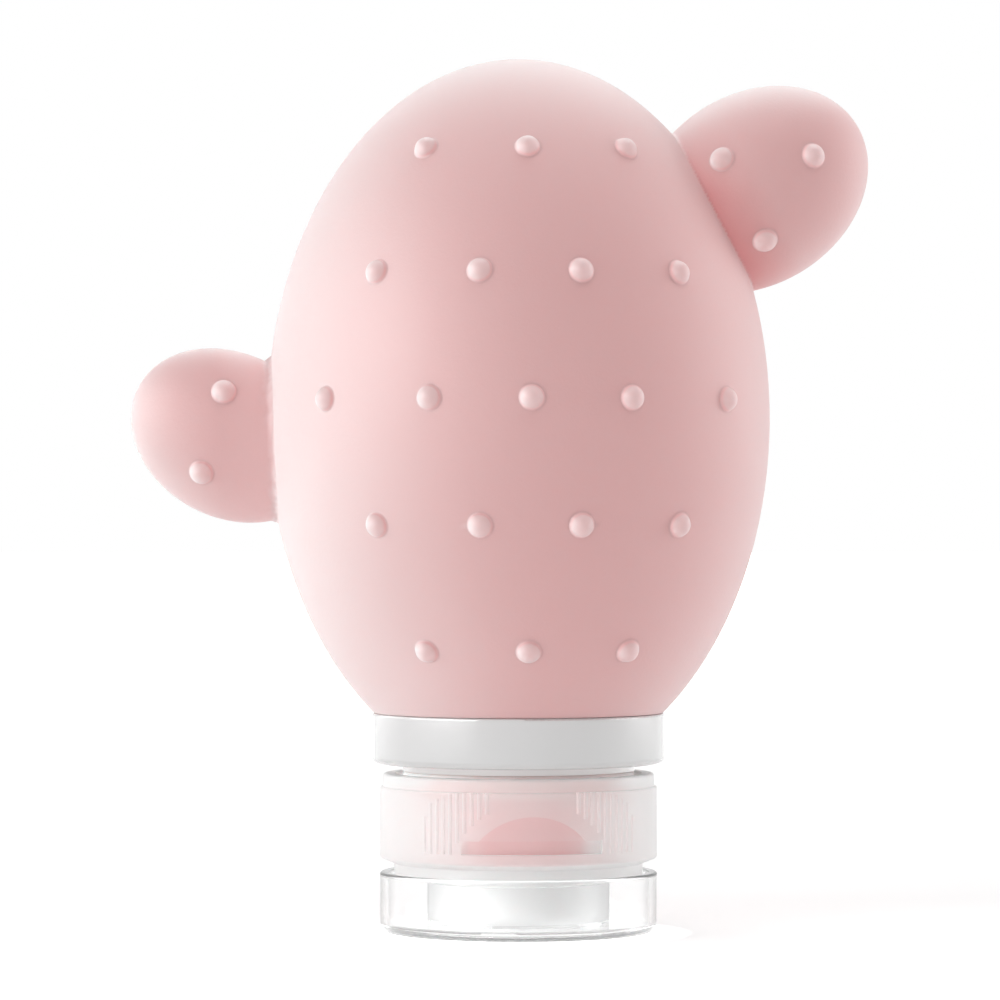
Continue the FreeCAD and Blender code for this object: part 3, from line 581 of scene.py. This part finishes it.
# Painted shade: the right arm's root is a deeper red, darkest at the crease and fading towards the top
pink_silicone.tint(pink_silicone.painted("right_root_painted_shade"), colour=(0.70, 0.25, 0.25))
# Painted light: the nubs are paler than the skin, standing in for the brighter light they catch
pink_silicone.tint(pink_silicone.painted("nub_painted_light"), colour=(0.82, 0.56, 0.555))
# Painted light: the nubs' feet are paler, lifting the shade in their fillets
pink_silicone.tint(pink_silicone.painted("nub_foot_painted_light"), colour=(0.86, 0.47, 0.465))
bottle.data.materials.append(pink_silicone.material)
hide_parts("silicone_bottle")
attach(bottle, "bottle")

# Insert: a hard sleeve of uncoloured plastic pushed into the neck from below.
# Its flange covers the neck's end and gives the washer something stiff to seal on.
natural_plastic = Finish(
    "natural_plastic",
    colours=((0.90, 0.89, 0.88), (0.86, 0.85, 0.84)),
    roughness=(0.35, 0.5),
    mottle_scale=120,
    grain_scale=1500,
    grain_height=0.00002,
)


def finish_node(node, finish):
    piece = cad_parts[node]
    for slot in piece.material_slots:
        slot.material = finish.material


finish_node("neck_insert", natural_plastic)

# Collar: a white glossy ring, moulded as a channel that is open below.
# It is snapped over the neck's bead and hides the step under the bottle's shoulder.
white_plastic = Finish(
    "white_plastic",
    colours=((0.635, 0.64, 0.64), (0.62, 0.625, 0.625)),
    roughness=(0.06, 0.1),
    mottle_scale=80,
    grain_scale=900,
    grain_height=0.000004,
)
# Painted light: the collar's hub is paler than its wall, lifting the shade in the gap under the collar
hub_painted_light = white_plastic.zone(full_radius=0.0132, zero_radius=0.0136, low=0.0175, high=0.0196, fade=0.0002)
white_plastic.tint(hub_painted_light, colour=(1.0, 0.965, 0.96))
white_plastic.set(Specular_IOR_Level=1.0, Coat_Weight=1.0, Coat_Roughness=0.05)
white_plastic.let_light_through()
finish_node("collar_ring", white_plastic)

# Washer: a flat ring of cloudy soft silicone, punched from sheet and laid on the cap's deck.
# It is squeezed between the deck and the insert's flange when the cap is screwed home.
clear_silicone = Finish(
    "clear_silicone",
    colours=((0.80, 0.80, 0.79), (0.74, 0.74, 0.73)),
    roughness=(0.5, 0.62),
    mottle_scale=150,
    grain_scale=2200,
    grain_height=0.00002,
)
clear_silicone.set(Transmission_Weight=0.45, IOR=1.41)
finish_node("sealing_gasket", clear_silicone)

# Cap base: a frosted screw cap that lets some light through, and the pink neck's glow in it is partly that
# light and partly painted into the cap's colour.
# One moulding: skirt with its thread, thumb recess, fine grip ribs, deck, outlet boss and two hinge lugs.
frosted_plastic = Finish(
    "frosted_plastic",
    colours=((0.98, 0.975, 0.97), (0.97, 0.965, 0.96)),
    roughness=(0.26, 0.34),
    mottle_scale=90,
    grain_scale=1800,
    grain_height=0.00001,
)
frosted_plastic.set(Transmission_Weight=0.3, IOR=1.4, Subsurface_Weight=0.6)
frosted_plastic.set(Subsurface_Radius=(1.0, 0.9, 0.9), Subsurface_Scale=0.0012)
frosted_plastic.let_light_through()
skirt = frosted_plastic.zone(full_radius=0.0160, zero_radius=0.0165, low=0.0078, high=0.0170, fade=0.0008)
skirt_painted_glow = frosted_plastic.both(skirt, frosted_plastic.middle(full=0.003, zero=0.011))
recess = frosted_plastic.zone(full_radius=0.0146, zero_radius=0.0153, low=0.0088, high=0.0150, fade=0.0003)
recess_painted_glow = frosted_plastic.both(recess, frosted_plastic.middle(full=0.004, zero=0.009))
recess_ends_painted_light = frosted_plastic.both(recess, frosted_plastic.middle(full=0.0082, zero=0.0060))
rim = frosted_plastic.zone(full_radius=0.0160, zero_radius=0.0165, low=0.0152, high=0.0180, fade=0.0006)
rim_painted_glow = frosted_plastic.both(rim, frosted_plastic.middle(full=0.009, zero=0.0135))
# Painted glow: the skirt is tinted pink, more so across its middle, in the recess and at the rim, standing in
# for the neck seen through
frosted_plastic.tint(skirt, colour=(0.95, 0.86, 0.855))
frosted_plastic.tint(skirt_painted_glow, colour=(0.92, 0.755, 0.75))
frosted_plastic.tint(recess_painted_glow, colour=(0.90, 0.64, 0.64))
# Painted light: the ends of the thumb recess are paler, lifting the shade there
frosted_plastic.tint(recess_ends_painted_light, colour=(1.0, 0.97, 0.965))
frosted_plastic.tint(rim_painted_glow, colour=(0.93, 0.80, 0.79))
# Painted sheen: the cap turns whiter where it is seen edge-on
frosted_plastic.tint(frosted_plastic.edge_on(start=0.2, end=0.75), colour=(1.0, 0.985, 0.98))
finish_node("cap_base", frosted_plastic)

# Valve and its retainer: a thin dished disc of soft silicone with a cross slit, dropped into the outlet boss,
# and a hard ring that is pressed in over it and clamps its rim.
finish_node("drip_valve", clear_silicone)
finish_node("valve_retainer", natural_plastic)

# Lid: a clear glossy cup that the bottle stands on, with an inner ring round the outlet boss.
# Its hinge barrel is moulded on at the back, and the pins at its ends snap into the cap's lugs.
clear_plastic = Finish(
    "clear_plastic",
    colours=((0.985, 0.988, 0.988), (0.975, 0.978, 0.978)),
    roughness=(0.02, 0.05),
    mottle_scale=60,
    grain_scale=700,
    grain_height=0.000001,
)
clear_plastic.set(Transmission_Weight=1.0, IOR=1.46)
clear_plastic.let_light_through()
lid_wall = clear_plastic.zone(full_radius=0.0135, zero_radius=0.0120, low=0.0010, high=0.0064, fade=0.0004)
wall_sides_painted_shade = clear_plastic.both(lid_wall, clear_plastic.edge_on(start=0.66, end=0.88))
outside_face = clear_plastic.zone(full_radius=0.016, zero_radius=0.017, low=-0.001, high=0.0004, fade=0.0002)
lid_mouth = clear_plastic.zone(full_radius=0.016, zero_radius=0.017, low=0.0062, high=0.008, fade=0.0002)
inner_ring = clear_plastic.zone(full_radius=0.0108, zero_radius=0.0112, low=0.0013, high=0.0075, fade=0.0002)
# Painted shade: the lid's wall is darker grey where it is seen edge-on
clear_plastic.tint(wall_sides_painted_shade, colour=(0.42, 0.425, 0.425))
clear_plastic.roughen(outside_face, roughness=0.4)
clear_plastic.roughen(lid_mouth, roughness=0.3)
clear_plastic.roughen(inner_ring, roughness=0.35)
finish_node("flip_lid", clear_plastic)

# Table: a plain sheet of matt white board that lies a hair's breadth under the lid.
# It takes the bottle's soft shadow, and glows a little where it is looked at, so that it reads as white; in
# front of the bottle and under the lid the glow is painted light that lifts the shadow.
TABLE_HALF = 4.0
TABLE_HEIGHT = -0.0002
TABLE_COLOUR = (0.9, 0.9, 0.9, 1)
table_sides = ((-1, -1), (1, -1), (1, 1), (-1, 1))
table_corners = [(x * TABLE_HALF, y * TABLE_HALF, TABLE_HEIGHT) for x, y in table_sides]
table_mesh = bpy.data.meshes.new("table")
table_mesh.from_pydata(table_corners, [], [[0, 1, 2, 3]])
table = bpy.data.objects.new("table", table_mesh)
bpy.context.collection.objects.link(table)
table_paint = bpy.data.materials.new("table_paint")
table_paint.use_nodes = True
table_tree = table_paint.node_tree
table_shader = table_tree.nodes["Principled BSDF"]
table_shader.inputs["Base Color"].default_value = TABLE_COLOUR
table_shader.inputs["Roughness"].default_value = 0.9
table_shader.inputs["Specular IOR Level"].default_value = 0.0
table_shader.inputs["Emission Color"].default_value = (1, 1, 1, 1)


def tree_math(tree, operation, first, second):
    node = tree.nodes.new("ShaderNodeMath")
    node.operation = operation
    tree.links.new(first, node.inputs[0])
    tree.links.new(second, node.inputs[1])
    return node.outputs["Value"]


def tree_ramp(tree, value, start, end, first, last):
    node = tree.nodes.new("ShaderNodeMapRange")
    node.inputs["From Min"].default_value = start
    node.inputs["From Max"].default_value = end
    node.inputs["To Min"].default_value = first
    node.inputs["To Max"].default_value = last
    tree.links.new(value, node.inputs["Value"])
    return node.outputs["Result"]


def looked_at(tree):
    path = tree.nodes.new("ShaderNodeLightPath").outputs
    seen = tree_math(tree, "MAXIMUM", path["Is Camera Ray"], path["Is Glossy Ray"])
    return tree_math(tree, "MAXIMUM", seen, path["Is Transmission Ray"])


table_place = table_tree.nodes.new("ShaderNodeTexCoord").outputs["Object"]
table_axes = table_tree.nodes.new("ShaderNodeSeparateXYZ")
table_tree.links.new(table_place, table_axes.inputs["Vector"])
table_radius = table_tree.nodes.new("ShaderNodeVectorMath")
table_radius.operation = "LENGTH"
table_tree.links.new(table_place, table_radius.inputs[0])
from_axis = table_radius.outputs["Value"]
# Painted light: the glow is stronger in front of the bottle and strongest under the lid, lifting the shadow
# there
front_glow = tree_ramp(table_tree, table_axes.outputs["Y"], start=0.005, end=0.045, first=0.30, last=0.17)
under_glow = tree_ramp(table_tree, from_axis, start=0.0175, end=0.0195, first=0.9, last=0.0)
far_glow = tree_ramp(table_tree, from_axis, start=0.1, end=1.2, first=0.0, last=0.75)
near_glow = tree_math(table_tree, "ADD", front_glow, under_glow)
table_glow = tree_math(table_tree, "ADD", near_glow, far_glow)
seen_glow = tree_math(table_tree, "MULTIPLY", table_glow, looked_at(table_tree))
table_tree.links.new(seen_glow, table_shader.inputs["Emission Strength"])
table.data.materials.append(table_paint)

# Studio: a white room, brightest straight behind the bottle, with soft lamps at the sides, above and in front.
# Sheets and cards show only as gloss. Fills, sheets and the low card light nothing but the bottle's skin, and
# those under no_shade reach it past the bottle and the table.
ROOM_LIGHT = 0.47
world = bpy.data.worlds.new("studio")
world.use_nodes = True
bpy.context.scene.world = world
room = world.node_tree
background = room.nodes["Background"]
background.inputs["Color"].default_value = (1, 1, 1, 1)
room_strength = room.nodes.new("ShaderNodeMapRange")
room_strength.inputs["To Min"].default_value = ROOM_LIGHT
room_direction = room.nodes.new("ShaderNodeSeparateXYZ")
room.links.new(room.nodes.new("ShaderNodeTexCoord").outputs["Generated"], room_direction.inputs["Vector"])
seen_light = tree_ramp(room, room_direction.outputs["Y"], start=0.6, end=0.97, first=0.68, last=1.0)
room.links.new(seen_light, room_strength.inputs["To Max"])
room.links.new(looked_at(room), room_strength.inputs["Value"])
room.links.new(room_strength.outputs["Result"], background.inputs["Strength"])


def light_group(name, things, link_state):
    group = bpy.data.collections.new(name)
    for index, thing in enumerate(things):
        group.objects.link(thing)
        group.collection_objects[index].light_linking.link_state = link_state
    return group


skin_only = light_group("skin_only", [bottle], "INCLUDE")
all_but_skin = light_group("all_but_skin", [bottle], "EXCLUDE")
no_shade = light_group("no_shade", [bottle, table], "EXCLUDE")
LAMP_DISTANCE = 0.7
LAMP_AIM_HEIGHT = 0.05
SHEET_COLOUR = (0.65, 1.0, 1.0)


def soft_lamp(name, azimuth, elevation, size, watts, distance=LAMP_DISTANCE, lights=None, shaded_by=None):
    lamp = bpy.data.lights.new(name, "AREA")
    lamp.shape = "RECTANGLE"
    lamp.size, lamp.size_y = size
    lamp.energy = watts
    holder = bpy.data.objects.new(name, lamp)
    turn = math.radians(azimuth)
    lift = math.radians(elevation)
    holder.location = (
        distance * math.cos(lift) * math.sin(turn),
        -distance * math.cos(lift) * math.cos(turn),
        LAMP_AIM_HEIGHT + distance * math.sin(lift),
    )
    holder.rotation_euler = (math.pi / 2 - lift, 0, turn)
    holder.visible_camera = False
    holder.light_linking.receiver_collection = lights
    holder.light_linking.blocker_collection = shaded_by
    bpy.context.collection.objects.link(holder)
    return holder


def gloss_sheet(name, azimuth, elevation, size, watts, shaded_by):
    sheet = soft_lamp(name, azimuth, elevation, size, watts, lights=skin_only, shaded_by=shaded_by)
    sheet.data.color = SHEET_COLOUR
    sheet.visible_diffuse = False


def skin_fill(name, azimuth, elevation, size, watts):
    soft_lamp(name, azimuth, elevation, size, watts, lights=skin_only, shaded_by=skin_only)


soft_lamp("left_lamp", azimuth=-60, elevation=8, size=(0.4, 0.8), watts=1.9, lights=all_but_skin)
skin_fill("left_fill", azimuth=-60, elevation=8, size=(0.4, 0.8), watts=0.35)
left_card = soft_lamp("left_card", azimuth=-68, elevation=2, size=(0.9, 0.9), watts=13.0)
left_card.visible_diffuse = False
gloss_sheet("left_sheet", azimuth=-110, elevation=8, size=(0.9, 0.9), watts=7.6, shaded_by=no_shade)
soft_lamp("rear_lamp", azimuth=-125, elevation=10, size=(0.5, 0.8), watts=2.0, lights=all_but_skin)
skin_fill("rear_fill", azimuth=-125, elevation=10, size=(0.5, 0.8), watts=0.7)
gloss_sheet("rear_sheet", azimuth=-132, elevation=-20, size=(0.7, 0.9), watts=3.5, shaded_by=no_shade)
gloss_sheet("low_card", azimuth=-80, elevation=-42, size=(0.8, 0.8), watts=4.8, shaded_by=no_shade)
soft_lamp("right_lamp", azimuth=106, elevation=5, size=(0.35, 0.8), watts=2.5)
gloss_sheet("right_sheet", azimuth=128, elevation=-20, size=(0.5, 0.9), watts=1.6, shaded_by=skin_only)
soft_lamp("top_lamp", azimuth=0, elevation=84, size=(0.6, 0.6), watts=1.5)
gloss_sheet("top_sheet", azimuth=175, elevation=55, size=(0.7, 0.6), watts=5.2, shaded_by=skin_only)
soft_lamp("front_lamp", azimuth=-5, elevation=0, size=(1.2, 1.2), watts=4.2, distance=1.4)

# Camera: level, at the height of the bottle's middle and a little to the left of its front, with a long lens.
# The lens is worked out so that one pixel of the photograph spans PIXEL metres at the aim.
CAMERA_AZIMUTH = math.radians(-2.7)
CAMERA_DISTANCE = 0.555
AIM_ASIDE = -0.00207
AIM_HEIGHT = 0.04825
PIXEL = 0.000112
PHOTO_WIDTH = 1000
SENSOR_WIDTH = 36
camera_data = bpy.data.cameras.new("camera")
camera_data.sensor_width = SENSOR_WIDTH
camera_data.lens = SENSOR_WIDTH * CAMERA_DISTANCE / (PHOTO_WIDTH * PIXEL)
camera_data.clip_start = 0.01
camera = bpy.data.objects.new("camera", camera_data)
camera.location = (
    AIM_ASIDE * math.cos(CAMERA_AZIMUTH) + CAMERA_DISTANCE * math.sin(CAMERA_AZIMUTH),
    AIM_ASIDE * math.sin(CAMERA_AZIMUTH) - CAMERA_DISTANCE * math.cos(CAMERA_AZIMUTH),
    AIM_HEIGHT,
)
camera.rotation_euler = (math.pi / 2, 0, CAMERA_AZIMUTH)
bpy.context.collection.objects.link(camera)
bpy.context.scene.camera = camera
bpy.context.scene.view_settings.view_transform = "Standard"
